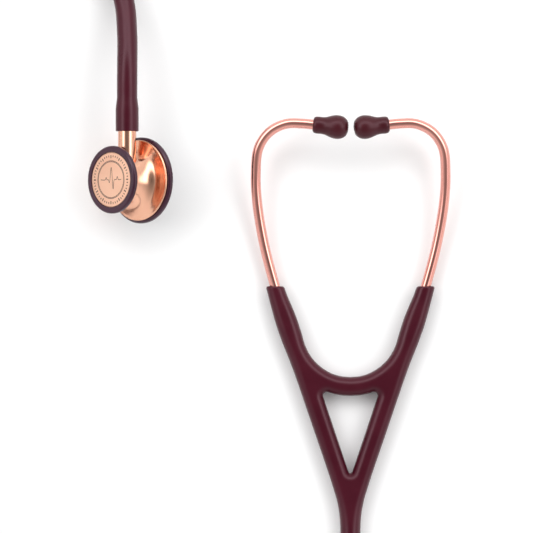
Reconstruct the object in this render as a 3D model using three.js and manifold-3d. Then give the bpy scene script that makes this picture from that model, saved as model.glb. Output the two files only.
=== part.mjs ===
// A dual-head stethoscope lying on its back on a table, in millimetres.
// +Z is up from the table. +Y runs from the tail of the headset towards its eartips.
import * as THREE from 'three';
import { mergeVertices } from 'three/addons/utils/BufferGeometryUtils.js';
import Module from 'manifold-3d';

const wasm = await Module();
wasm.setup();

const DEGREE = Math.PI / 180;
const GAP = 0.3;                        // left between pieces that touch
const SIDES = { left: -1, right: 1 };

// Placing: the headset's tail end and the centre of the chestpiece
const HEADSET_X = 44;
const HEADSET_Y = -118.75;
const CHEST_X = -76.6;
const CHEST_Y = 77.75;
const CHEST_TILT = -43 * DEGREE;        // leans on its large rim
const STEM_HEIGHT = 24.2;

// Flexible tube
const TUBE_RADIUS = 5.5;
const TUBE_SIDES = 10;
const TUBE_STEPS = 36;

// Yoke and arms: a flat moulding as thick as the tube
const YOKE_DEPTH = 2 * TUBE_RADIUS;
const KNUCKLE = new THREE.Vector2(24.2, 94.2);
const KNUCKLE_RADIUS = 6.6;
const SOCKET_RADIUS = KNUCKLE_RADIUS + GAP;
const SPREAD_LIMIT = 20;                // degrees that each arm opens
const MOUTH = new THREE.Vector3(41.2, 140.1, TUBE_RADIUS);
const MOUTH_HALF_WIDTH = 4.5;
const MOUTH_END = 139.3;
const MOUTH_DIRECTION = new THREE.Vector3(0.3, 0.954, 0).normalize();
const SOCKET_DEPTH = 17;
const LUMEN_RADIUS = 1.5;
const LUMEN_Z = 3.4;                    // height at which the sound channels pass the knuckles

// Headset spring
const LEAF_THICKNESS = 0.8;
const LEAF_HEIGHT = 3.6;
const LEAF_Z = 7.9;
const LEAF_TAIL = 3;                    // reach past the knuckle's centre

// Ear tubes and eartips
const EAR_TUBE_RADIUS = 2.7;
const EAR_TUBE_BORE = 1.8;
const EARTIP_BASE = new THREE.Vector3(20.4, 226.5, 20.5);
const EARTIP_DIRECTION = new THREE.Vector3(-18.25, -1.9, 1.5).normalize();
const EARTIP_GRIP = 6.7;

// Chestpiece, measured along its own axis from the stem's centre line
const LARGE_FACE = -12.2;
const SMALL_FACE = 12.5;
const LARGE_RIM_RADIUS = 23.25;
const SMALL_RIM_RADIUS = 18.15;
const HUB_FOOT_RADIUS = 15;
const NECK_RADIUS = 9.4;
const CHANNEL_RADIUS = 1.3;

// Stem, measured along the stem from the chestpiece's axis
const STEM_RADIUS = 4.9;
const PLUG_RADIUS = 3.6;
const PLUG_END = -6.6;
const STEM_SHOULDER = 8.8;
const CUFF_START = 26.4;
const CUFF_RADIUS = 6.2;
const CUFF_LENGTH = 18;
const BARB_END = 41;
const STEM_BORE = 1.6;
const RING_Y = 6.2;
const RING_OUTER = 4.3;
const O_RING_Y = 3.2;
const DETENT_Y = -4.2;
const DETENT_BORE = 1.1;
const BALL_RADIUS = 0.95;
const BALL_REACH = 3.85;

const FINE = 36;                        // facets around the large turned pieces
const MEDIUM = 20;
const COARSE = 12;

function finish(color, roughness, metalness) {
  return { color, roughness, metalness };
}

const FINISHES = {
  burgundyTube: finish(0x541824, 0.35, 0),
  roseGold: finish(0xdc9c80, 0.18, 1),
  copper: finish(0xdd9a72, 0.15, 1),
  brushedCopper: finish(0xd8a183, 0.4, 1),
  plumRim: finish(0x3a1c2c, 0.45, 0),
  maroonSilicone: finish(0x35101a, 0.25, 0),
  springSteel: finish(0x9a9a9a, 0.35, 1),
  diaphragm: finish(0x2c1a22, 0.4, 0),
  blackRubber: finish(0x161616, 0.7, 0),
};

// Merges shared corners, drops collapsed triangles and turns the faces outwards.
function closed(geometry) {
  const bare = new THREE.BufferGeometry();
  bare.setAttribute('position', geometry.getAttribute('position').clone());
  if (geometry.index) bare.setIndex(geometry.index.clone());
  const merged = mergeVertices(bare, 1e-4);
  const position = merged.getAttribute('position');
  const kept = [];
  let volume = 0;
  const [a, b, c] = [new THREE.Vector3(), new THREE.Vector3(), new THREE.Vector3()];
  for (let i = 0; i < merged.index.count; i += 3) {
    const corners = [0, 1, 2].map((k) => merged.index.getX(i + k));
    if (new Set(corners).size < 3) continue;
    [a, b, c].forEach((vertex, k) => vertex.fromBufferAttribute(position, corners[k]));
    volume += a.dot(b.cross(c));
    kept.push(corners);
  }
  if (volume < 0) kept.forEach((corners) => corners.reverse());
  merged.setIndex(kept.flat());
  return merged;
}

function toSolid(geometry) {
  const merged = closed(geometry);
  return new wasm.Manifold(new wasm.Mesh({
    numProp: 3,
    vertProperties: new Float32Array(merged.getAttribute('position').array),
    triVerts: new Uint32Array(merged.index.array),
  }));
}

function toGeometry(solid) {
  const mesh = solid.getMesh();
  const geometry = new THREE.BufferGeometry();
  geometry.setAttribute('position', new THREE.BufferAttribute(mesh.vertProperties, 3));
  geometry.setIndex(new THREE.BufferAttribute(mesh.triVerts, 1));
  return geometry;
}

function cut(geometry, cutters) {
  const tools = cutters.map(toSolid);
  return toGeometry(tools.reduce((solid, tool) => solid.subtract(tool), toSolid(geometry)));
}

function piece(name, geometry, look) {
  const shaded = geometry.clone();
  shaded.computeVertexNormals();
  const mesh = new THREE.Mesh(shaded, new THREE.MeshStandardMaterial(look));
  mesh.name = name;
  return mesh;
}

function circle(radius) {
  return new THREE.Shape().absarc(0, 0, radius, 0, 2 * Math.PI);
}

function sweep(section, points, steps, sides) {
  const path = new THREE.CatmullRomCurve3(points);
  return new THREE.ExtrudeGeometry(section, { extrudePath: path, steps, curveSegments: sides / 2 });
}

function plate(outline) {
  return new THREE.ExtrudeGeometry(outline, { depth: YOKE_DEPTH, bevelEnabled: false, curveSegments: 6 });
}

function vector(side, [x, y, z]) {
  return new THREE.Vector3(side * x, y, z);
}

function vectors(side, places) {
  return places.map((place) => vector(side, place));
}

function onSide(side, point) {
  return new THREE.Vector3(side * point.x, point.y, point.z);
}

function flat(places) {
  return places.map(([x, y]) => new THREE.Vector2(x, y));
}

function smooth(places, divisions = 12) {
  return new THREE.SplineCurve(flat(places)).getPoints(divisions);
}

function round(centre, radius, from, to, divisions = 14) {
  const clockwise = to < from;
  const curve = new THREE.EllipseCurve(centre.x, centre.y, radius, radius, from, to, clockwise);
  return curve.getPoints(divisions);
}

function rim(centre, radius, angle) {
  return [centre.x + radius * Math.cos(angle), centre.y + radius * Math.sin(angle)];
}

// Joins runs of points end to end and leaves out each run's repeat of the last point.
function chain(...runs) {
  const points = [];
  for (const point of runs.flat()) {
    if (!points.length || point.distanceTo(points.at(-1)) > 0.01) points.push(point);
  }
  return points;
}

function mirrored(points) {
  return points.map((point) => new THREE.Vector2(-point.x, point.y)).reverse();
}

// ---- Yoke -------------------------------------------------------------------------------

const SOCKET_OUTER_ANGLE = -46 * DEGREE;
const SOCKET_INNER_ANGLE = -197 * DEGREE;

function yokeOutline() {
  const lip = rim(KNUCKLE, SOCKET_RADIUS, SOCKET_INNER_ANGLE);
  const half = chain(
    flat([[TUBE_RADIUS, 0]]),
    smooth([[TUBE_RADIUS, 9], [6.25, 17.6], [8.15, 26.4], [11.1, 36]], 8),
    round(KNUCKLE, SOCKET_RADIUS, SOCKET_OUTER_ANGLE, SOCKET_INNER_ANGLE),
    smooth([lip, [8.4, 91.5], [0, 89.4]], 8),
  );
  return new THREE.Shape(chain(half, mirrored(half)));
}

function yokeWindow() {
  const hole = new THREE.Path();
  hole.moveTo(-1.2, 39.2);
  hole.quadraticCurveTo(0, 36.4, 1.2, 39.2);
  hole.lineTo(13.9, 77.1);
  hole.quadraticCurveTo(15.7, 82.6, 11.5, 81.3);
  hole.quadraticCurveTo(0, 78, -11.5, 81.3);
  hole.quadraticCurveTo(-15.7, 82.6, -13.9, 77.1);
  hole.closePath();
  return hole;
}

function yokeLumen(side) {
  return sweep(circle(LUMEN_RADIUS), vectors(side, [
    [2.1, -0.5, TUBE_RADIUS],
    [2.2, 14, TUBE_RADIUS],
    [4.2, 27, TUBE_RADIUS],
    [7.2, 40, 5],
    [14.4, 62, 4],
    [19.1, 76, LUMEN_Z],
    [23, 89, LUMEN_Z],
  ]), 14, 8);
}

const LEAF_POINTS = [[5, 84.9], [12, 87], [17.5, 90.2]];

// The spring's route from one knuckle to the other, level at LEAF_Z
function leafRoute() {
  const inner = new THREE.Vector2(...LEAF_POINTS.at(-1));
  const tail = KNUCKLE.clone().sub(inner).setLength(LEAF_TAIL).add(KNUCKLE);
  const half = [...LEAF_POINTS, KNUCKLE.toArray(), tail.toArray()].map(([x, y]) => [x, y, LEAF_Z]);
  return [...vectors(-1, half).reverse(), ...vectors(1, half)];
}

function leaf(clearance) {
  const height = LEAF_HEIGHT / 2 + clearance;
  const thickness = LEAF_THICKNESS / 2 + clearance;
  const section = new THREE.Shape(flat([
    [-height, -thickness], [height, -thickness], [height, thickness], [-height, thickness],
  ]));
  return sweep(section, leafRoute(), 24, 4);
}

function yoke() {
  const outline = yokeOutline();
  outline.holes.push(yokeWindow());
  const cutters = [leaf(GAP), ...Object.values(SIDES).map(yokeLumen)];
  return piece('yoke', cut(plate(outline), cutters), FINISHES.burgundyTube);
}

function headsetSpring() {
  return piece('headset_spring', closed(leaf(0)), FINISHES.springSteel);
}

// ---- Arms -------------------------------------------------------------------------------

function alongMouth(distance, sideways = 0) {
  const across = new THREE.Vector3(MOUTH_DIRECTION.y, -MOUTH_DIRECTION.x, 0);
  return MOUTH.clone().addScaledVector(MOUTH_DIRECTION, distance).addScaledVector(across, sideways);
}

const KNUCKLE_INNER_ANGLE = 135 * DEGREE;
const KNUCKLE_OUTER_ANGLE = 340 * DEGREE;

// The arm's end is square to the headset's axis, not to the arm
function mouthCorner(sideways) {
  const corner = alongMouth(0, sideways);
  return corner.addScaledVector(MOUTH_DIRECTION, (MOUTH_END - corner.y) / MOUTH_DIRECTION.y);
}

function armOutline() {
  const outer = mouthCorner(MOUTH_HALF_WIDTH);
  const inner = mouthCorner(-MOUTH_HALF_WIDTH);
  const outerStart = rim(KNUCKLE, KNUCKLE_RADIUS, KNUCKLE_OUTER_ANGLE);
  const innerEnd = rim(KNUCKLE, KNUCKLE_RADIUS, KNUCKLE_INNER_ANGLE);
  return new THREE.Shape(chain(
    round(KNUCKLE, KNUCKLE_RADIUS, KNUCKLE_INNER_ANGLE, KNUCKLE_OUTER_ANGLE),
    smooth([outerStart, [32.9, 99.4], [36.6, 108.8], [41, 122], [outer.x, outer.y]]),
    smooth([[inner.x, inner.y], [32.9, 130.7], [29.1, 122], [25.7, 110], [23, 103.4], innerEnd]),
  ).slice(0, -1));
}

function armLumen() {
  return sweep(circle(LUMEN_RADIUS), [
    new THREE.Vector3(22.6, 87, LUMEN_Z),
    new THREE.Vector3(24.6, 95, LUMEN_Z),
    new THREE.Vector3(29, 107, 4.4),
    alongMouth(-SOCKET_DEPTH - 4),
    alongMouth(1 - SOCKET_DEPTH),
  ], 10, 8);
}

function earTubeSocket() {
  return sweep(circle(EAR_TUBE_RADIUS + GAP), [alongMouth(-SOCKET_DEPTH), alongMouth(1)], 1, 12);
}

// Room for the spring's tail while the arm turns about the knuckle
function springPockets() {
  const inner = new THREE.Vector2(...LEAF_POINTS.at(-1));
  const rest = KNUCKLE.clone().sub(inner).angle();
  const length = SOCKET_RADIUS + 1;
  return [0, 0.5, 1].map((share) => {
    const slot = new THREE.BoxGeometry(
      length + LEAF_TAIL + GAP, LEAF_THICKNESS + 3 * GAP, LEAF_HEIGHT + 2 * GAP);
    slot.translate((LEAF_TAIL + GAP - length) / 2, 0, LEAF_Z);
    slot.rotateZ(rest + share * SPREAD_LIMIT * DEGREE);
    return slot.translate(KNUCKLE.x, KNUCKLE.y, 0);
  });
}

function arm(name, side) {
  const right = cut(plate(armOutline()), [armLumen(), earTubeSocket(), ...springPockets()]);
  return piece(name, closed(right.scale(side, 1, 1)), FINISHES.burgundyTube);
}

// ---- Ear tubes and eartips --------------------------------------------------------------

function alongEartip(distance) {
  return EARTIP_BASE.clone().addScaledVector(EARTIP_DIRECTION, distance);
}

function earTube(name, side) {
  const section = circle(EAR_TUBE_RADIUS);
  section.holes.push(new THREE.Path().absarc(0, 0, EAR_TUBE_BORE, 0, 2 * Math.PI));
  const route = [
    alongMouth(0.5 - SOCKET_DEPTH),
    alongMouth(-8),
    alongMouth(0),
    vector(1, [46.7, 161.1, 6.6]),
    vector(1, [50.6, 184, 9.3]),
    vector(1, [51.4, 200, 12]),
    vector(1, [49.9, 214, 15]),
    vector(1, [44.2, 222.5, 17.2]),
    vector(1, [35.4, 226.9, 19]),
    alongEartip(-6),
    alongEartip(0),
    alongEartip(EARTIP_GRIP),
  ].map((point) => onSide(side, point));
  return piece(name, closed(sweep(section, route, 26, 10)), FINISHES.roseGold);
}

function eartip(name, side) {
  const tubeBore = EAR_TUBE_RADIUS + GAP;
  const soundHole = 1.5;
  const outside = [
    [4.2, 0], [4.5, 1], [4.5, 4], [5, 6.2], [6, 9], [6.25, 11.8],
    [5.9, 14.6], [4.6, 17.2], [2.6, 18.7], [soundHole, 18.9],
  ];
  const inside = [[soundHole, 9], [tubeBore, 8], [tubeBore, 0], [4.2, 0]];
  const profile = flat([...outside, ...inside]);
  const mesh = piece(name, closed(new THREE.LatheGeometry(profile, 20)), FINISHES.maroonSilicone);
  mesh.position.copy(onSide(side, EARTIP_BASE));
  mesh.quaternion.setFromUnitVectors(new THREE.Vector3(0, 1, 0), onSide(side, EARTIP_DIRECTION));
  return mesh;
}

function headset() {
  const group = new THREE.Group();
  group.position.set(HEADSET_X, HEADSET_Y, 0);
  group.add(yoke(), headsetSpring());
  for (const [word, side] of Object.entries(SIDES)) {
    group.add(arm(`${word}_arm`, side), earTube(`${word}_ear_tube`, side), eartip(`${word}_eartip`, side));
  }
  return group;
}

// ---- Chestpiece: turned pieces about its own axis, which is local Z ---------------------

function turned(profile, segments) {
  return closed(new THREE.LatheGeometry(flat(profile), segments).rotateX(Math.PI / 2));
}

function rod(radius, from, to, segments = COARSE) {
  const profile = [[0, from], [radius, from], [radius, to], [0, to]];
  return new THREE.LatheGeometry(flat(profile), segments);
}

// [radius, place along the axis], from the large bell's floor round to the small bell's floor
const BODY_PROFILE = [
  [0, -7.6], [4, -7.8], [18.6, -9.9], [19.6, -10.3],
  [21.7, -10.3], [21.7, -9.8], [20.95, -9.8], [20.95, -8.9], [21.6, -8.9], [21.75, -8.4], [21.3, -7.9],
  [20.2, -7.8], [17.2, -7.4], [HUB_FOOT_RADIUS, -6.75], [12.6, -4.9], [11.2, -2.4], [10.1, 0.6],
  [NECK_RADIUS, 3.4], [NECK_RADIUS, 5.4], [10.5, 6.9], [15.4, 8.6],
  [15.4, 9.9], [16.4, 9.9], [16.4, 10.5], [14, 10.5], [12.8, 10.1], [3, 9.2], [0, 9.1],
];

function chestBody() {
  const stemBore = rod(PLUG_RADIUS + GAP, PLUG_END - GAP, HUB_FOOT_RADIUS + 1, MEDIUM);
  const counterbore = rod(STEM_RADIUS + GAP, STEM_SHOULDER - 2 * GAP, HUB_FOOT_RADIUS + 1, MEDIUM);
  const ringGroove = rod(RING_OUTER + GAP, RING_Y - 0.7, RING_Y + 0.7, MEDIUM);
  const channel = rod(CHANNEL_RADIUS, LARGE_FACE, SMALL_FACE).rotateX(Math.PI / 2);
  const dimples = Object.values(SIDES).map((side) => (
    new THREE.SphereGeometry(1.3, 10, 8).translate(side * 3.4, DETENT_Y, 0)
  ));
  const blank = turned(BODY_PROFILE, FINE);
  return piece('chest_body', cut(blank, [stemBore, counterbore, ringGroove, channel, ...dimples]),
    FINISHES.copper);
}

function largeRim() {
  return piece('large_rim', turned([
    [20, -12], [20.4, LARGE_FACE], [22.4, LARGE_FACE], [LARGE_RIM_RADIUS, -11.3], [LARGE_RIM_RADIUS, -10],
    [22.5, -9.2], [21.25, -9.2], [21.25, -9.5], [22, -9.5], [22, -11.8], [20, -11.8], [20, -12],
  ], FINE), FINISHES.plumRim);
}

function largeDiaphragm() {
  const [centre, edge] = [19.2, 21.4];
  return piece('large_diaphragm', turned([
    [0, -11], [edge, -11], [edge, -11.5], [centre, -11.5], [centre - 0.3, -12], [0, -12],
  ], FINE), FINISHES.diaphragm);
}

function smallRim() {
  return piece('small_rim', turned([
    [14.85, 12], [14.85, 12.3], [15.1, SMALL_FACE], [17.4, SMALL_FACE], [SMALL_RIM_RADIUS, 11.8],
    [SMALL_RIM_RADIUS, 10.2], [17.4, 9.3], [15.7, 9.3], [15.7, 9.7], [16.7, 9.7], [16.7, 12], [14.85, 12],
  ], FINE), FINISHES.plumRim);
}

function smallDiaphragm() {
  const [centre, edge] = [14.5, 16.1];
  return piece('small_diaphragm', turned([
    [0, 11.2], [edge, 11.2], [edge, 11.7], [centre, 11.7], [centre - 0.2, 12.2], [0, 12.2],
  ], FINE), FINISHES.brushedCopper);
}

// ---- Stem and swivel: turned pieces about the stem's centre line, which is local Y ------

function groove(radius, centre, width) {
  const half = width / 2;
  return [[PLUG_RADIUS, centre - half], [radius, centre - half], [radius, centre + half],
    [PLUG_RADIUS, centre + half]];
}

function barbs() {
  const places = [];
  for (let foot = CUFF_START; foot < BARB_END - 1; foot += 5) {
    places.push([3.9, foot], [3.2, foot + 4.4]);
  }
  return places;
}

function stem() {
  const blank = new THREE.LatheGeometry(flat([
    [0, PLUG_END], [PLUG_RADIUS, PLUG_END],
    ...groove(2.68, O_RING_Y, 1.3), ...groove(3, RING_Y, 1.4),
    [PLUG_RADIUS, STEM_SHOULDER], [STEM_RADIUS, STEM_SHOULDER], [STEM_RADIUS, CUFF_START - GAP],
    ...barbs(), [3, BARB_END], [STEM_BORE, BARB_END], [STEM_BORE, -1.8], [0, -1.8],
  ]), MEDIUM);
  const port = rod(CHANNEL_RADIUS, -PLUG_RADIUS - 1, 0).rotateX(Math.PI / 2);
  const detentHole = rod(DETENT_BORE, -2.2, PLUG_RADIUS + 1).rotateZ(-Math.PI / 2);
  detentHole.translate(0, DETENT_Y, 0);
  return piece('stem', cut(blank, [port, detentHole]), FINISHES.roseGold);
}

function stemORing() {
  const ring = new THREE.TorusGeometry(3.3, 0.32, 8, 24).rotateX(Math.PI / 2);
  return piece('stem_o_ring', closed(ring.translate(0, O_RING_Y, 0)), FINISHES.blackRubber);
}

function retainingRing() {
  const [inner, thickness, opening] = [3.3, 0.8, 20 * DEGREE];
  const outline = new THREE.Shape();
  outline.absarc(0, 0, RING_OUTER, opening, 2 * Math.PI - opening);
  outline.absarc(0, 0, inner, 2 * Math.PI - opening, opening, true);
  outline.closePath();
  const ring = new THREE.ExtrudeGeometry(outline, { depth: thickness, bevelEnabled: false, curveSegments: 20 });
  ring.rotateX(-Math.PI / 2).translate(0, RING_Y - thickness / 2, 0);
  return piece('retaining_ring', closed(ring), FINISHES.springSteel);
}

function detentBall() {
  const ball = new THREE.SphereGeometry(BALL_RADIUS, 12, 8).translate(BALL_REACH - BALL_RADIUS, DETENT_Y, 0);
  return piece('detent_ball', closed(ball), FINISHES.springSteel);
}

class Coil extends THREE.Curve {
  constructor(radius, length, turns) {
    super();
    Object.assign(this, { radius, length, turns });
  }

  getPoint(share, target = new THREE.Vector3()) {
    const angle = 2 * Math.PI * this.turns * share;
    return target.set(share * this.length, this.radius * Math.cos(angle), this.radius * Math.sin(angle));
  }
}

function detentSpring() {
  const [coilRadius, wireRadius, length, turns] = [0.75, 0.13, 3.3, 4];
  const wire = new THREE.ExtrudeGeometry(circle(wireRadius), {
    extrudePath: new Coil(coilRadius, length, turns), steps: turns * 8, curveSegments: 3,
  });
  return piece('detent_spring', closed(wire.translate(-1.9, DETENT_Y, 0)), FINISHES.springSteel);
}

function tubeCuff() {
  const [bore, end] = [4.5, CUFF_START + CUFF_LENGTH];
  const cuff = new THREE.LatheGeometry(flat([
    [bore, CUFF_START], [CUFF_RADIUS - 0.3, CUFF_START], [CUFF_RADIUS, CUFF_START + 0.6],
    [CUFF_RADIUS, CUFF_START + 12], [TUBE_RADIUS, end], [2.4, end],
    [2.4, BARB_END + 1.4], [bore, BARB_END + 0.6], [bore, CUFF_START],
  ]), 24);
  return piece('tube_cuff', closed(cuff), FINISHES.burgundyTube);
}

function chestpiece() {
  const group = new THREE.Group();
  group.position.set(CHEST_X, CHEST_Y, STEM_HEIGHT);
  group.rotation.y = CHEST_TILT;
  group.add(chestBody(), largeRim(), largeDiaphragm(), smallRim(), smallDiaphragm());
  group.add(stem(), stemORing(), retainingRing(), detentBall(), detentSpring(), tubeCuff());
  return group;
}

// ---- Main tube --------------------------------------------------------------------------

// From the yoke's tail, round the table in one open loop, and up to the cuff
const TUBE_ROUTE = [
  [44, -119.05, 5.55], [44, -128, 5.55], [36, -152, 5.55], [10, -167, 5.55], [-30, -169.5, 5.55],
  [-75, -168, 5.55], [-119, -160, 5.55], [-151, -135, 5.55], [-161.5, -94, 5.55], [-163.5, -46, 5.55],
  [-164, 0, 5.55], [-165, 46, 5.55], [-165, 92, 5.55], [-164.5, 136, 5.55], [-161.5, 174, 5.55],
  [-147, 206, 5.6], [-120, 219, 5.7], [-93, 206, 6.6], [-79.5, 178, 11], [-76.8, 156, 18.2],
  [-76.6, 142, 22.7], [-76.6, 131, 24.2], [-76.6, 122.45, 24.2],
];

function mainTube() {
  const tube = sweep(circle(TUBE_RADIUS), vectors(1, TUBE_ROUTE), TUBE_STEPS, TUBE_SIDES);
  return piece('main_tube', closed(tube), FINISHES.burgundyTube);
}

const stethoscope = new THREE.Group();
stethoscope.add(headset(), chestpiece(), mainTube());

export default stethoscope;
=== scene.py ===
# A dual-head stethoscope lying on a pale table, seen from straight above.
# Lengths are written in millimetres and turned into metres where objects are made.
import math

import bmesh
import bpy
import numpy as np
from mathutils import Matrix, Vector


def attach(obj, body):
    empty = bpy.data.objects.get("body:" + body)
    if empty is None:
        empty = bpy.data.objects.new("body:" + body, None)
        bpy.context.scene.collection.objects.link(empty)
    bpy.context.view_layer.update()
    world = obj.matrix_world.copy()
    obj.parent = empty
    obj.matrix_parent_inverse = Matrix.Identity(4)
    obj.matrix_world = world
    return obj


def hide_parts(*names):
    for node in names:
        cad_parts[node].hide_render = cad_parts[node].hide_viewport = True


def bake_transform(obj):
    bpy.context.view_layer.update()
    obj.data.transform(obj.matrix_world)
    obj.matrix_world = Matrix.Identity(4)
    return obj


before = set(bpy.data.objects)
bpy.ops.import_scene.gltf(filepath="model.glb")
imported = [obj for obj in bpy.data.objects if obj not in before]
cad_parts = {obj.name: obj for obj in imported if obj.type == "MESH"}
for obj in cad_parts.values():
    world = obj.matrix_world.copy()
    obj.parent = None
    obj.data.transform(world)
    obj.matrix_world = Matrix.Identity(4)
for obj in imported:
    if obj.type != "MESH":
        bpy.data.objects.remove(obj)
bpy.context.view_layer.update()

MM = 0.001
SIDES = {"left": -1, "right": 1}

# Placing, as in the CAD
HEADSET = np.array([44.0, -118.75, 0.0])     # the yoke's tail end, on the table
CHEST = Vector((-76.6, 77.75, 24.2))         # the stem's line crosses the chestpiece's axis
CHEST_TILT = math.radians(-43)
TUBE_RADIUS = 5.5
STEM_RADIUS = 4.9
EAR_TUBE_RADIUS = 2.7
CUFF_LENGTH = 18.0
CUFF_RADIUS = 6.2
CUFF_TAPER = 6.0                             # length over which the tube swells into the cuff
MOUTH = np.array([41.2, 140.1, TUBE_RADIUS])
MOUTH_DIRECTION = np.array([0.3, 0.954, 0.0]) / math.hypot(0.3, 0.954)
MOUTH_END = 139.3                            # where the arms are cut off
EARTIP_BASE = np.array([20.4, 226.5, 20.5])
EARTIP_DIRECTION = np.array([-18.25, -1.9, 1.5]) / math.sqrt(18.25**2 + 1.9**2 + 1.5**2)

# Fineness of the surfaces
TUBE_SIDES = 36
EAR_TUBE_SIDES = 32
EARTIP_SEGMENTS = 64
STEM_SEGMENTS = 96
CHEST_BODY_SEGMENTS = 256
DISC_SEGMENTS = 160
CORNER_DIVISIONS = 8


# ---- Camera ---------------------------------------------------------------------------------

VIEW_WIDTH = 289.7 * MM
VIEW_CENTRE = (-1.6 * MM, 31.25 * MM)
CAMERA_HEIGHT = 1.9
SENSOR = 36.0

camera_data = bpy.data.cameras.new("camera")
camera_data.sensor_width = SENSOR
camera_data.lens = SENSOR * (CAMERA_HEIGHT - TUBE_RADIUS * MM) / VIEW_WIDTH
camera = bpy.data.objects.new("camera", camera_data)
camera.location = (*VIEW_CENTRE, CAMERA_HEIGHT)
bpy.context.collection.objects.link(camera)
bpy.context.scene.camera = camera
bpy.context.scene.view_settings.view_transform = "Standard"


# ---- Curves ---------------------------------------------------------------------------------

def through(points, step):
    """A centripetal Catmull-Rom curve through the points, cut into even steps."""
    given = np.array(points, float)
    ends = [2 * given[0] - given[1], *given, 2 * given[-1] - given[-2]]
    dense = []
    for before, start, end, after in zip(ends, ends[1:], ends[2:], ends[3:]):
        gaps = [np.linalg.norm(b - a) ** 0.5 for a, b in ((before, start), (start, end), (end, after))]
        leave = (start - before) / gaps[0] - (end - before) / (gaps[0] + gaps[1]) + (end - start) / gaps[1]
        arrive = (end - start) / gaps[1] - (after - start) / (gaps[1] + gaps[2]) + (after - end) / gaps[2]
        leave, arrive = leave * gaps[1], arrive * gaps[1]
        t = np.linspace(0, 1, 40, endpoint=False)[:, None]
        dense.append(start + leave * t + (3 * (end - start) - 2 * leave - arrive) * t**2
                     + (2 * (start - end) + leave + arrive) * t**3)
    dense = np.vstack([*dense, given[-1:]])
    return even(dense, step)


def even(points, step):
    """The same line, cut again into even steps."""
    along = np.concatenate([[0], np.cumsum(np.linalg.norm(np.diff(points, axis=0), axis=1))])
    places = np.linspace(0, along[-1], max(2, round(along[-1] / step) + 1))
    return np.column_stack([np.interp(places, along, points[:, k]) for k in range(points.shape[1])])


def rounded(corners):
    """A profile from (x, y, corner radius): each corner becomes an arc."""
    places = [np.array(corner[:2], float) for corner in corners]
    outline = [places[0]]
    for before, corner, after, (_, _, radius) in zip(places, places[1:], places[2:], corners[1:]):
        arrive = (before - corner) / np.linalg.norm(before - corner)
        leave = (after - corner) / np.linalg.norm(after - corner)
        half = math.acos(float(np.clip(arrive @ leave, -1, 1))) / 2
        straight = half > 1.56
        if radius < 1e-6 or straight:
            outline.append(corner)
            continue
        centre = corner + (arrive + leave) / np.linalg.norm(arrive + leave) * radius / math.sin(half)
        first = corner + arrive * radius / math.tan(half) - centre
        last = corner + leave * radius / math.tan(half) - centre
        turn = math.atan2(first[0] * last[1] - first[1] * last[0], first @ last)
        for share in np.linspace(0, 1, CORNER_DIVISIONS + 1):
            c, s = math.cos(turn * share), math.sin(turn * share)
            outline.append(centre + np.array([c * first[0] - s * first[1], s * first[0] + c * first[1]]))
    return [*outline, places[-1]]


# ---- Meshes ---------------------------------------------------------------------------------

def add_object(name, vertices, faces, material, matrix=None, sharp=40):
    """vertices in millimetres, matrix in metres; edges over sharp degrees aren't smoothed."""
    mesh = bpy.data.meshes.new(name)
    mesh.from_pydata([tuple(float(x) * MM for x in v) for v in vertices], [], faces)
    if matrix is not None:
        mesh.transform(matrix)
    mesh.materials.append(material)
    mesh.polygons.foreach_set("use_smooth", [True] * len(mesh.polygons))
    made = bmesh.new()
    made.from_mesh(mesh)
    bmesh.ops.remove_doubles(made, verts=made.verts, dist=1e-7)
    bmesh.ops.recalc_face_normals(made, faces=made.faces)
    for edge in made.edges:
        if edge.is_manifold and edge.calc_face_angle() > math.radians(sharp):
            edge.smooth = False
    made.to_mesh(mesh)
    made.free()
    piece = bpy.data.objects.new(name, mesh)
    bpy.context.collection.objects.link(piece)
    return piece


def sweep(name, centres, radii, material, sides):
    """A round tube; radii is one number or one per centre, and both ends are closed."""
    centres = np.array(centres, float)
    radii = np.broadcast_to(radii, len(centres))
    tangents = np.gradient(centres, axis=0)
    tangents /= np.linalg.norm(tangents, axis=1)[:, None]
    normal = np.cross(tangents[0], [0.0, 0.0, 1.0])
    vertices, faces = [], []
    angles = np.linspace(0, 2 * math.pi, sides, endpoint=False)
    for centre, tangent, radius in zip(centres, tangents, radii):
        normal = normal - tangent * (normal @ tangent)
        normal = normal / np.linalg.norm(normal)
        other = np.cross(tangent, normal)
        ring = np.cos(angles)[:, None] * normal + np.sin(angles)[:, None] * other
        vertices.extend(centre + ring * radius)
    for row in range(len(centres) - 1):
        for k in range(sides):
            a, b = row * sides + k, row * sides + (k + 1) % sides
            faces.append((a, b, b + sides, a + sides))
    faces.append(tuple(reversed(range(sides))))
    faces.append(tuple(range(len(vertices) - sides, len(vertices))))
    return add_object(name, vertices, faces, material)


def lathe(name, profile, material, matrix, segments):
    """Turns a profile of (radius, height) about Z; one that doesn't start on the axis is a closed loop."""
    profile = [tuple(map(float, place)) for place in profile]
    on_axis = profile[0][0] < 1e-6 and profile[-1][0] < 1e-6
    vertices, faces = [], []
    for k in range(segments):
        angle = 2 * math.pi * k / segments
        vertices.extend((r * math.cos(angle), r * math.sin(angle), h) for r, h in profile)
    count = len(profile)
    for k in range(segments):
        here, there = k * count, (k + 1) % segments * count
        for j in range(count - 1 if on_axis else count):
            up = (j + 1) % count
            faces.append((here + j, there + j, there + up, here + up))
    return add_object(name, vertices, faces, material, matrix, sharp=35)


# ---- Materials ------------------------------------------------------------------------------

def linear(red, green, blue):
    """Display values from 0 to 255 as the renderer's linear ones."""
    def channel(value):
        share = value / 255
        return share / 12.92 if share <= 0.04045 else ((share + 0.055) / 1.055) ** 2.4
    return (channel(red), channel(green), channel(blue), 1.0)


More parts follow.
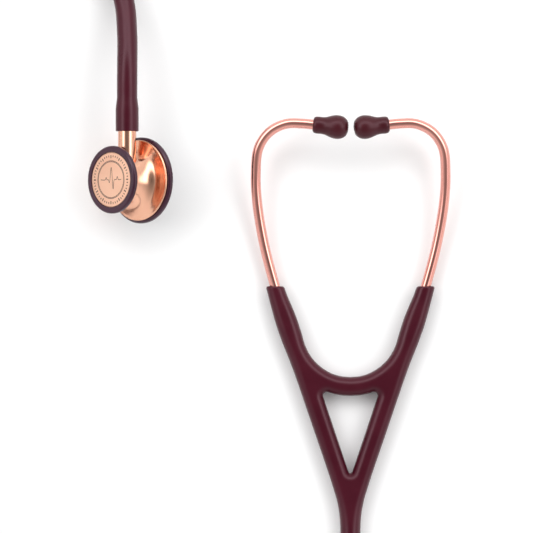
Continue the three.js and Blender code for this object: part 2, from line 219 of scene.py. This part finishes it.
def new_material(name, **sockets):
    """A material, its nodes, its links and its shader; underscores in a socket's name are spaces."""
    material = bpy.data.materials.new(name)
    material.use_nodes = True
    shader = material.node_tree.nodes["Principled BSDF"]
    for socket, value in sockets.items():
        shader.inputs[socket.replace("_", " ")].default_value = value
    return material, material.node_tree.nodes, material.node_tree.links, shader


def noise(nodes, links, scale, detail, stretch=(1, 1, 1)):
    place = nodes.new("ShaderNodeTexCoord")
    mapping = nodes.new("ShaderNodeMapping")
    mapping.inputs["Scale"].default_value = stretch
    texture = nodes.new("ShaderNodeTexNoise")
    texture.inputs["Scale"].default_value = scale
    texture.inputs["Detail"].default_value = detail
    links.new(place.outputs["Object"], mapping.inputs["Vector"])
    links.new(mapping.outputs["Vector"], texture.inputs["Vector"])
    return texture.outputs["Fac"]


# Most of a noise texture's values lie between these
NOISE_LOW, NOISE_HIGH = 0.3, 0.7


def ranged(nodes, links, source, low, high):
    remap = nodes.new("ShaderNodeMapRange")
    remap.inputs["From Min"].default_value = NOISE_LOW
    remap.inputs["From Max"].default_value = NOISE_HIGH
    remap.inputs["To Min"].default_value = low
    remap.inputs["To Max"].default_value = high
    links.new(source, remap.inputs["Value"])
    return remap.outputs["Result"]


def colours(nodes, links, source, dark, light):
    ramp = nodes.new("ShaderNodeValToRGB")
    ramp.color_ramp.elements[0].position = NOISE_LOW
    ramp.color_ramp.elements[0].color = dark
    ramp.color_ramp.elements[1].position = NOISE_HIGH
    ramp.color_ramp.elements[1].color = light
    links.new(source, ramp.inputs["Fac"])
    return ramp.outputs["Color"]


def bump(nodes, links, source, strength, depth):
    node = nodes.new("ShaderNodeBump")
    node.inputs["Strength"].default_value = strength
    node.inputs["Distance"].default_value = depth * MM
    links.new(source, node.inputs["Height"])
    return node.outputs["Normal"]


def soft_plastic(name, dark, light, roughness, shine=0.5, tint=(1, 1, 1, 1), grain=900.0):
    material, nodes, links, shader = new_material(name, Specular_IOR_Level=shine, Specular_Tint=tint)
    cloudy = noise(nodes, links, 60, 4)
    fine = noise(nodes, links, grain, 2)
    links.new(colours(nodes, links, cloudy, dark, light), shader.inputs["Base Color"])
    links.new(ranged(nodes, links, cloudy, roughness * 0.9, roughness * 1.15), shader.inputs["Roughness"])
    links.new(bump(nodes, links, fine, 0.15, 0.02), shader.inputs["Normal"])
    return material


def polished_metal(name, dark, light, roughness, stretch=(1, 1, 1), depth=0.004):
    material, nodes, links, shader = new_material(name, Metallic=1.0)
    cloudy = noise(nodes, links, 45, 4)
    scratches = noise(nodes, links, 700, 4, stretch)
    links.new(colours(nodes, links, cloudy, dark, light), shader.inputs["Base Color"])
    links.new(ranged(nodes, links, scratches, roughness * 0.8, roughness * 1.3), shader.inputs["Roughness"])
    links.new(bump(nodes, links, scratches, 0.1, depth), shader.inputs["Normal"])
    return material


def turned_metal(name, dark, light, roughness, depth):
    """Metal with fine grooves round the chestpiece's axis."""
    material, nodes, links, shader = new_material(name, Metallic=1.0)
    cloudy = noise(nodes, links, 45, 4)
    place = nodes.new("ShaderNodeTexCoord")
    mapping = nodes.new("ShaderNodeMapping")
    mapping.vector_type = "TEXTURE"
    mapping.inputs["Location"].default_value = CHEST * MM
    mapping.inputs["Rotation"].default_value = (0, CHEST_TILT, 0)
    off_axis = nodes.new("ShaderNodeVectorMath")
    off_axis.operation = "MULTIPLY"
    off_axis.inputs[1].default_value = (1, 1, 0)
    radius = nodes.new("ShaderNodeVectorMath")
    radius.operation = "LENGTH"
    grooves = nodes.new("ShaderNodeTexNoise")
    grooves.noise_dimensions = "1D"
    grooves.inputs["Scale"].default_value = 3200
    grooves.inputs["Detail"].default_value = 3
    links.new(place.outputs["Object"], mapping.inputs["Vector"])
    links.new(mapping.outputs["Vector"], off_axis.inputs[0])
    links.new(off_axis.outputs["Vector"], radius.inputs[0])
    links.new(radius.outputs["Value"], grooves.inputs["W"])
    links.new(colours(nodes, links, cloudy, dark, light), shader.inputs["Base Color"])
    links.new(ranged(nodes, links, grooves.outputs["Fac"], roughness * 0.8, roughness * 1.3),
              shader.inputs["Roughness"])
    links.new(bump(nodes, links, grooves.outputs["Fac"], 0.25, depth), shader.inputs["Normal"])
    return material


# Tints of the highlights
PINK = (1, 0.72, 0.8, 1)
PALE_PINK = (1, 0.85, 0.95, 1)

BURGUNDY = soft_plastic("burgundy_pvc", linear(58, 4, 20), linear(66, 8, 25), 0.3, 0.38, PINK)
ROSE_GOLD = polished_metal("rose_gold_tube", linear(226, 158, 146), linear(234, 168, 156), 0.13,
                           depth=0.001)
STEM_GOLD = polished_metal("rose_gold_stem", linear(222, 164, 138), linear(232, 176, 150), 0.16,
                           stretch=(1, 0.04, 1))
COPPER = turned_metal("polished_copper", linear(228, 172, 144), linear(236, 182, 154), 0.17, 0.003)
BRUSHED = turned_metal("brushed_copper", linear(228, 180, 154), linear(238, 194, 168), 0.4, 0.01)
ENGRAVED = soft_plastic("engraving_fill", linear(42, 32, 32), linear(60, 47, 45), 0.6)
PLUM = soft_plastic("plum_rim", linear(44, 12, 29), linear(54, 18, 37), 0.28, 0.5, PALE_PINK)
SILICONE = soft_plastic("maroon_silicone", linear(56, 8, 16), linear(63, 12, 21), 0.34, 0.38, PINK)
FILM = soft_plastic("diaphragm_film", linear(34, 18, 26), linear(42, 24, 32), 0.34, 0.35, grain=2500.0)
STEEL = polished_metal("spring_steel", linear(150, 150, 152), linear(180, 180, 182), 0.3)
BLACK_RUBBER = soft_plastic("black_rubber", linear(18, 18, 18), linear(28, 28, 28), 0.6)


# ---- Main tube ------------------------------------------------------------------------------

# From the yoke's tail, round the table in one open loop, and up to the stem
TUBE_ROUTE = [
    [44, -118.75, 5.5], [44, -128, 5.55], [36, -152, 5.55], [10, -167, 5.55], [-30, -169.5, 5.55],
    [-75, -168, 5.55], [-119, -160, 5.55], [-151, -135, 5.55], [-161.5, -94, 5.55], [-163.5, -46, 5.55],
    [-164, 0, 5.55], [-165, 46, 5.55], [-165, 92, 5.55], [-164.5, 136, 5.55], [-161.5, 174, 5.55],
    [-147, 206, 5.6], [-120, 219, 5.7], [-93, 206, 6.6], [-79.5, 178, 11], [-76.8, 156, 18.2],
    [-76.6, 142, 22.7], [-76.6, 131, 24.2], [-76.6, 122.45, 24.2], [-76.6, 104.15, 24.2],
]

# The lip closes on the stem: each ring's distance past the cuff's end, and its radius
LIP = ((0.1, CUFF_RADIUS - 0.12), (0.14, CUFF_RADIUS - 0.45), (0.16, STEM_RADIUS + 0.05))

# The tube starts inside the yoke's tail, where it is a little thinner than the tail
INSIDE_YOKE = np.array([[0, 3, 0], [0, 0.3, 0]])
THINNER_INSIDE = 0.12


def main_tube():
    centres = through(TUBE_ROUTE, 3.0)
    centres = np.vstack([centres[0] + INSIDE_YOKE, centres])
    from_lip = np.linalg.norm(centres - centres[-1], axis=1)
    swell = np.clip((CUFF_LENGTH - from_lip) / CUFF_TAPER, 0, 1)
    radii = TUBE_RADIUS + (CUFF_RADIUS - TUBE_RADIUS) * swell**2 * (3 - 2 * swell)
    radii[:len(INSIDE_YOKE)] -= THINNER_INSIDE
    lip = centres[-1]
    for past, radius in LIP:
        centres = np.vstack([centres, lip - [0, past, 0]])
        radii = np.append(radii, radius)
    tube = sweep("main_tube_surface", centres, radii, BURGUNDY, TUBE_SIDES)
    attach(tube, "headset_and_tube")
    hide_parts("main_tube", "tube_cuff")


main_tube()


# ---- Yoke and arms: one smooth moulding, made as the zero level of a distance field ----------

# Half outlines of (x, y) from the tail end, for the right side
OUTER_EDGE = through([
    [5.5, -14], [5.5, 0], [5.5, 8], [5.95, 15], [7.15, 22], [9.6, 30.5], [12.5, 39.4], [16.15, 50.1],
    [22.7, 69.3], [28.8, 87.2], [32.6, 97.6], [36.9, 108.4], [40.3, 118], [43.1, 128], [45.9, 138.7],
    [48.4, 148.3],
], 1.2)
INNER_EDGE = through([
    [38.9, 148.4], [36.75, 141.4], [34.45, 134.6], [31.6, 128], [28.9, 121.2], [26.6, 114], [24.5, 107],
    [21.4, 101.1], [16.9, 96.2], [11.4, 92.5], [5.8, 90.5], [0, 89.9],
], 1.2)
OUTLINE = np.vstack([OUTER_EDGE, INNER_EDGE[:-1], INNER_EDGE[::-1] * [-1, 1], OUTER_EDGE[::-1] * [-1, 1]])
WINDOW = np.array(rounded([
    (0, 79.65, 0), (5, 79.95, 20), (10, 80.95, 20), (16.2, 83.5, 2.1), (0, 35.3, 1.15),
    (-16.2, 83.5, 2.1), (-10, 80.95, 20), (-5, 79.95, 20), (0, 79.65, 0),
])[:-1])


def inside_distance(x, y, outline):
    """Signed distance from each place to a closed outline, negative inside."""
    nearest = np.full(x.shape, 1e9)
    within = np.zeros(x.shape, bool)
    for (ax, ay), (bx, by) in zip(outline, np.roll(outline, -1, 0)):
        dx, dy = bx - ax, by - ay
        t = np.clip(((x - ax) * dx + (y - ay) * dy) / (dx * dx + dy * dy), 0, 1)
        nearest = np.minimum(nearest, (x - ax - t * dx) ** 2 + (y - ay - t * dy) ** 2)
        if ay != by:
            within ^= ((ay > y) != (by > y)) & (x < ax + (y - ay) * dx / dy)
    return np.sqrt(nearest) * np.where(within, -1, 1)


def soft_max(a, b, width):
    """The larger of two distances, with the edge between them rounded over width."""
    blend = np.maximum(width - np.abs(a - b), 0) / width
    return np.maximum(a, b) + blend * blend * width / 4


def step_between(value, low, high):
    """Rises smoothly from 0 at low to 1 at high."""
    share = np.clip((value - low) / (high - low), 0, 1)
    return share * share * (3 - 2 * share)


def moulding(points):
    """Signed distance to the yoke and arms, in millimetres, negative inside."""
    x, y, z = points.T
    plan = np.maximum(inside_distance(x, y, OUTLINE), -inside_distance(x, y, WINDOW))
    to_mouth = step_between(y, 112, 138)
    near_tail = 1 - step_between(y, 6, 30)
    in_arm = step_between(y, 80, 100)
    half_depth = TUBE_RADIUS - to_mouth
    edge_radius = 4.5 + near_tail + 0.6 * in_arm - 0.65 * to_mouth
    across = plan + edge_radius
    upward = np.abs(z - TUBE_RADIUS) - half_depth + edge_radius
    outside = np.hypot(np.maximum(across, 0), np.maximum(upward, 0))
    body = np.minimum(np.maximum(across, upward), 0) + outside - edge_radius
    return soft_max(body, y - MOUTH_END, 1.2)


def slope(field, points):
    reach = 0.02
    return np.column_stack([
        (field(points + axis) - field(points - axis)) / (2 * reach) for axis in np.eye(3) * reach
    ])


def level_surface(field, low, high, pitch):
    """Vertices and quads of the field's zero level: one vertex in each cell that it crosses."""
    low = np.array(low, float)
    counts = [int(round((h - l) / pitch)) + 1 for l, h in zip(low, high)]
    grid = np.stack(np.meshgrid(*[np.arange(c) for c in counts], indexing="ij"), -1)
    values = field(low + grid.reshape(-1, 3) * pitch).reshape(counts)
    total = np.zeros((*counts, 3))
    hits = np.zeros(counts)
    crossings = []
    for axis in range(3):
        first = np.take(values, range(counts[axis] - 1), axis)
        second = np.take(values, range(1, counts[axis]), axis)
        places = np.argwhere((first < 0) != (second < 0))
        a = first[tuple(places.T)]
        b = second[tuple(places.T)]
        spots = places.astype(float)
        spots[:, axis] += a / (a - b)
        others = [k for k in range(3) if k != axis]
        around = []
        for shift in ((0, 0), (1, 0), (1, 1), (0, 1)):
            cell = places.copy()
            cell[:, others[0]] -= shift[0]
            cell[:, others[1]] -= shift[1]
            np.add.at(total, tuple(cell.T), spots)
            np.add.at(hits, tuple(cell.T), 1)
            around.append(cell)
        crossings.append((around, a < 0))
    used = hits > 0
    number = np.full(counts, -1)
    number[used] = np.arange(used.sum())
    vertices = low + total[used] / hits[used][:, None] * pitch
    for _ in range(4):    # pulls each vertex onto the surface
        away = slope(field, vertices)
        vertices -= away * (field(vertices) / (away**2).sum(1))[:, None]
    faces = []
    for around, entering in crossings:
        quads = np.column_stack([number[tuple(cell.T)] for cell in around])
        quads[~entering] = quads[~entering][:, ::-1]
        faces.extend(map(tuple, quads.tolist()))
    return vertices, faces


def yoke_half(word, side, vertices, faces):
    """One side, cut off at the middle plane and at the tail."""
    placed = vertices * [side, 1, 1] + HEADSET
    half = add_object(f"{word}_yoke_half", placed, faces, BURGUNDY, sharp=75)
    made = bmesh.new()
    made.from_mesh(half.data)
    for point, direction in ((HEADSET, (-side, 0, 0)), (HEADSET, (0, -1, 0))):
        bmesh.ops.bisect_plane(made, geom=[*made.verts, *made.edges, *made.faces], dist=1e-7,
                               plane_co=Vector(point) * MM, plane_no=direction, clear_outer=True)
    made.to_mesh(half.data)
    made.free()
    local = np.array([v.co for v in half.data.vertices]) / MM - HEADSET
    away = slope(moulding, local * [side, 1, 1]) * [side, 1, 1]
    half.data.normals_split_custom_set_from_vertices(away / np.linalg.norm(away, axis=1)[:, None])
    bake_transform(half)
    return half


def yoke():
    pitch = 0.95
    vertices, faces = level_surface(moulding, (-2.5, -3, -1.5), (50, 146, 12.5), pitch)
    halves = [yoke_half(word, side, vertices, faces) for word, side in SIDES.items()]
    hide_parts("yoke", "left_arm")
    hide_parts("right_arm")


yoke()


# ---- Ear tubes and eartips ------------------------------------------------------------------

EAR_TUBE_ROUTE = [
    MOUTH - MOUTH_DIRECTION * 10,
    MOUTH - MOUTH_DIRECTION * 5,
    MOUTH,
    [46.7, 161.1, 6.6],
    [50.6, 184, 9.3],
    [51.4, 200, 12],
    [49.9, 214, 15],
    [44.2, 222.5, 17.2],
    [35.4, 226.9, 19],
    EARTIP_BASE - EARTIP_DIRECTION * 6,
    EARTIP_BASE,
    EARTIP_BASE + EARTIP_DIRECTION * 6.5,
]


def along(direction, origin):
    """A placing that takes local Z to a direction; origin in millimetres."""
    turn = Vector((0, 0, 1)).rotation_difference(Vector(direction)).to_matrix().to_4x4()
    return Matrix.Translation(Vector(origin) * MM) @ turn


def ear_tube(word, side):
    route = through(EAR_TUBE_ROUTE, 1.2) * [side, 1, 1] + HEADSET
    tube = sweep(f"{word}_ear_tube_surface", route, EAR_TUBE_RADIUS, ROSE_GOLD, EAR_TUBE_SIDES)
    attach(tube, f"{word}_side")
    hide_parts(f"{word}_ear_tube")


# Radius and height
EARTIP_OUTLINE = [
    [3.4, 0], [4.05, 0.4], [4.5, 1.3], [4.65, 2.8], [4.6, 4.6], [4.8, 6.4], [5.35, 8.2], [6, 10.1],
    [6.4, 12.2], [6.35, 14.2], [5.8, 16.1], [4.65, 17.7], [3.2, 18.65], [1.9, 18.95],
]
EARTIP_BORE = [[1.5, 18.75], [1.3, 18.2], [1.3, 12], [2.72, 11], [2.72, 0.3], [2.9, 0.05]]


def eartip(word, side):
    place = along(EARTIP_DIRECTION * [side, 1, 1], EARTIP_BASE * [side, 1, 1] + HEADSET)
    profile = [*through(EARTIP_OUTLINE, 0.45), *EARTIP_BORE]
    tip = lathe(f"{word}_eartip_surface", profile, SILICONE, place, EARTIP_SEGMENTS)
    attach(tip, f"{word}_tip")
    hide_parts(f"{word}_eartip")


for side_word, side_sign in SIDES.items():
    ear_tube(side_word, side_sign)
    eartip(side_word, side_sign)


# ---- Chestpiece -----------------------------------------------------------------------------

# Profiles are (distance from the axis, height along it, corner radius)

CHEST_PLACE = Matrix.Translation(CHEST * MM) @ Matrix.Rotation(CHEST_TILT, 4, "Y")
STEM_PLACE = CHEST_PLACE @ Matrix.Rotation(math.radians(-90), 4, "X")    # local Z along the stem


def chest_piece(node, profile, material, body, segments=DISC_SEGMENTS):
    turned = lathe(f"{node}_surface", profile, material, CHEST_PLACE, segments)
    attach(turned, body)
    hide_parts(node)


def chest_body():
    under = rounded([
        (0, -7.6, 0), (4, -7.8, 2), (18.6, -9.9, 0.5), (19.6, -10.3, 0.2), (21.7, -10.3, 0.15),
        (21.7, -9.8, 0.1), (20.95, -9.8, 0.1), (20.95, -8.95, 0.1), (21.75, -8.95, 0.35),
        (21.75, -7.75, 0.55), (20.3, -7.8, 0),
    ])
    flare = through([
        (20.1, -7.79), (19, -7.67), (17.2, -7.4), (15, -6.75), (13.4, -5.7), (12.2, -4.3), (11.2, -2.4),
        (10.5, -0.5), (9.9, 1.5), (9.5, 3.3), (9.35, 4.6), (9.7, 5.9), (10.9, 7.1), (13, 7.9), (15.2, 8.4),
    ], 0.3)
    over = rounded([
        (15.4, 8.45, 0), (16.5, 9.2, 0.2), (16.5, 10.5, 0.15), (14, 10.5, 0.1), (12.8, 10.1, 0.5),
        (3, 9.2, 0.5), (0, 9.1, 0),
    ])
    profile = [*under, *flare, *over]
    chest_piece("chest_body", profile, COPPER, "chestpiece", CHEST_BODY_SEGMENTS)


def rims():
    large = rounded([
        (21, -12.2, 0), (20.2, -12.2, 0.12), (20, -12, 0.1), (20, -11.8, 0.05), (22, -11.8, 0.05),
        (22, -9.5, 0.05), (21.3, -9.5, 0.05), (21.3, -9.15, 0.1), (22.4, -9.15, 0.4),
        (23.25, -9.9, 0.8), (23.25, -11.6, 0.8), (22.5, -12.2, 0.5), (21, -12.2, 0),
    ])[:-1]
    small = rounded([
        (16, 12.5, 0), (17.2, 12.5, 0.35), (18.15, 11.9, 0.9), (18.15, 10.2, 0.9), (17.3, 9.25, 0.5),
        (15.8, 9.25, 0.1), (15.8, 9.6, 0.05), (16.8, 9.6, 0.05), (16.8, 12, 0.05), (14.85, 12, 0.05),
        (14.85, 12.35, 0.12), (15.05, 12.5, 0.1), (16, 12.5, 0),
    ])[:-1]
    chest_piece("large_rim", large, PLUM, "chestpiece")
    chest_piece("small_rim", small, PLUM, "chestpiece")


def large_diaphragm():
    profile = rounded([
        (0, -11, 0), (21.4, -11, 0.1), (21.4, -11.5, 0.1), (19.5, -11.5, 0.1), (19.2, -12, 0.15),
        (17.6, -12, 0.1), (17.4, -11.88, 0.1), (17, -11.88, 0.1), (16.8, -12, 0.1), (0, -12, 0),
    ])
    chest_piece("large_diaphragm", profile, FILM, "large_membrane")


def small_diaphragm():
    profile = rounded([
        (0, 11.2, 0), (16.1, 11.2, 0.1), (16.1, 11.7, 0.1), (14.7, 11.7, 0.1), (14.5, 12.2, 0.15),
        (0, 12.2, 0),
    ])
    chest_piece("small_diaphragm", profile, BRUSHED, "small_membrane")


MARK_FOOT, MARK_TOP = 12.17, 12.205          # just proud of the small diaphragm's face
TICKS = 48


def mark(vertices, faces, line, width):
    """Adds a flat-topped strip along a closed or open line of (x, y); width is its full width."""
    line = np.array(line, float)
    closed = np.linalg.norm(line[0] - line[-1]) < 1e-6
    if closed:
        line = line[:-1]
        tangents = np.roll(line, -1, 0) - np.roll(line, 1, 0)
    else:
        tangents = np.gradient(line, axis=0)
    tangents /= np.linalg.norm(tangents, axis=1)[:, None]
    normals = np.column_stack([-tangents[:, 1], tangents[:, 0]]) * width / 2
    start = len(vertices)
    for point, normal in zip(line, normals):
        inner, outer = point - normal, point + normal
        vertices.extend([(*inner, MARK_FOOT), (*inner, MARK_TOP), (*outer, MARK_TOP), (*outer, MARK_FOOT)])
    count = len(line)
    for k in range(count if closed else count - 1):
        here, there = start + 4 * k, start + 4 * ((k + 1) % count)
        faces.extend((here + j, there + j, there + (j + 1) % 4, here + (j + 1) % 4) for j in range(4))
    if not closed:
        faces.append((start, start + 1, start + 2, start + 3))
        last = start + 4 * (count - 1)
        faces.append((last + 3, last + 2, last + 1, last))


def medallion_marks():
    """Dark-filled engraving: a double ring, an even ring of ticks as on a dial, and a pulse line."""
    vertices, faces = [], []
    turns = np.radians(np.linspace(0, 360, 129))
    circle = np.column_stack([np.cos(turns), np.sin(turns)])
    for radius, width in ((10.1, 0.34), (9.6, 0.3)):
        mark(vertices, faces, circle * radius, width)
    for k in range(TICKS):
        turn = math.radians(360 / TICKS * k)
        inner, width = (11.5, 0.62) if k % 4 == 0 else (12.1, 0.52)
        mark(vertices, faces, np.outer([inner, 13.1], [math.cos(turn), math.sin(turn)]), width)
    pulse = np.array([
        [-7.8, 0], [-4.4, 0], [-3.7, 1.2], [-3, 0], [-2, 0], [-1.2, -1.6], [0.2, 6.6], [1.7, -5], [2.6, 0],
        [4, 0], [4.8, 1.6], [5.7, 0], [7.8, 0],
    ])
    mark(vertices, faces, through(pulse, 0.2), 0.34)
    inlay = add_object("medallion_marks", vertices, faces, ENGRAVED, CHEST_PLACE)
    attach(inlay, "small_membrane")


def stem():
    profile = rounded([
        (0, -6.6, 0), (3.6, -6.6, 0.3), (3.6, 8.8, 0), (STEM_RADIUS, 8.8, 0.2), (STEM_RADIUS, 30, 0.2),
        (1.6, 30, 0.1), (1.6, -1.8, 0.1), (0, -1.8, 0),
    ])
    pipe = lathe("stem_surface", profile, STEM_GOLD, STEM_PLACE, STEM_SEGMENTS)
    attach(pipe, "headset_and_tube")
    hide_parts("stem")


chest_body()
rims()
large_diaphragm()
small_diaphragm()
medallion_marks()
stem()


# ---- CAD pieces that keep their shape -------------------------------------------------------

KEPT = {
    "headset_spring": STEEL, "retaining_ring": STEEL, "detent_ball": STEEL, "detent_spring": STEEL,
    "stem_o_ring": BLACK_RUBBER,
}
for node_name, node_material in KEPT.items():
    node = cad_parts[node_name]
    node.data.materials.clear()
    node.data.materials.append(node_material)


# ---- Table and light ------------------------------------------------------------------------

def floor():
    bpy.ops.mesh.primitive_plane_add(size=6)
    table = bpy.context.object
    table.name = "table"
    material, nodes, links, shader = new_material("table_white", Roughness=0.7, Specular_IOR_Level=0.2)
    tint = colours(nodes, links, noise(nodes, links, 2, 2), (0.9, 0.9, 0.9, 1), (0.93, 0.93, 0.93, 1))
    links.new(tint, shader.inputs["Base Color"])
    table.data.materials.append(material)


def greys(nodes, links, source, stops):
    """A grey that follows the source through the stops."""
    ramp = nodes.new("ShaderNodeValToRGB")
    ramp.color_ramp.elements.remove(ramp.color_ramp.elements[1])
    for place, grey in stops:
        stop = ramp.color_ramp.elements.new(place)
        stop.color = (grey, grey, grey, 1)
    ramp.color_ramp.elements.remove(ramp.color_ramp.elements[0])
    links.new(source, ramp.inputs["Fac"])
    return ramp.outputs["Color"]


def calculated(nodes, links, operation, *terms):
    node = nodes.new("ShaderNodeMath")
    node.operation = operation
    for socket, term in zip(node.inputs, terms):
        if isinstance(term, (int, float)):
            socket.default_value = term
        else:
            links.new(term, socket)
    return node.outputs["Value"]


# Each stop is a height (or a share) and its grey
SKY = ((0, 1.15), (0.35, 1.05), (0.7, 0.6), (0.88, 0.38), (0.985, 0.28), (1, 0.14))
BAND = ((0.46, 0), (0.62, 1), (0.76, 1), (0.9, 0))
BAND_SIDE = ((0.2, 0), (0.5, 1))
BAND_STRENGTH = 3.1


def studio_world():
    """A dim top, a bright horizon, and a broad soft band of light on the +Y side."""
    world = bpy.data.worlds.new("studio")
    bpy.context.scene.world = world
    world.use_nodes = True
    nodes, links = world.node_tree.nodes, world.node_tree.links
    place = nodes.new("ShaderNodeTexCoord")
    split = nodes.new("ShaderNodeSeparateXYZ")
    links.new(place.outputs["Generated"], split.inputs["Vector"])
    x, y, z = (split.outputs[axis] for axis in "XYZ")
    sky = greys(nodes, links, z, SKY)
    band = greys(nodes, links, z, BAND)
    toward = calculated(nodes, links, "MULTIPLY_ADD", x, 0.08, y)
    side = greys(nodes, links, calculated(nodes, links, "ADD", toward, 0.5), BAND_SIDE)
    shaped = calculated(nodes, links, "MULTIPLY", band, side)
    lit = calculated(nodes, links, "MULTIPLY", shaped, BAND_STRENGTH)
    links.new(calculated(nodes, links, "ADD", sky, lit), nodes["Background"].inputs["Color"])


floor()
studio_world()
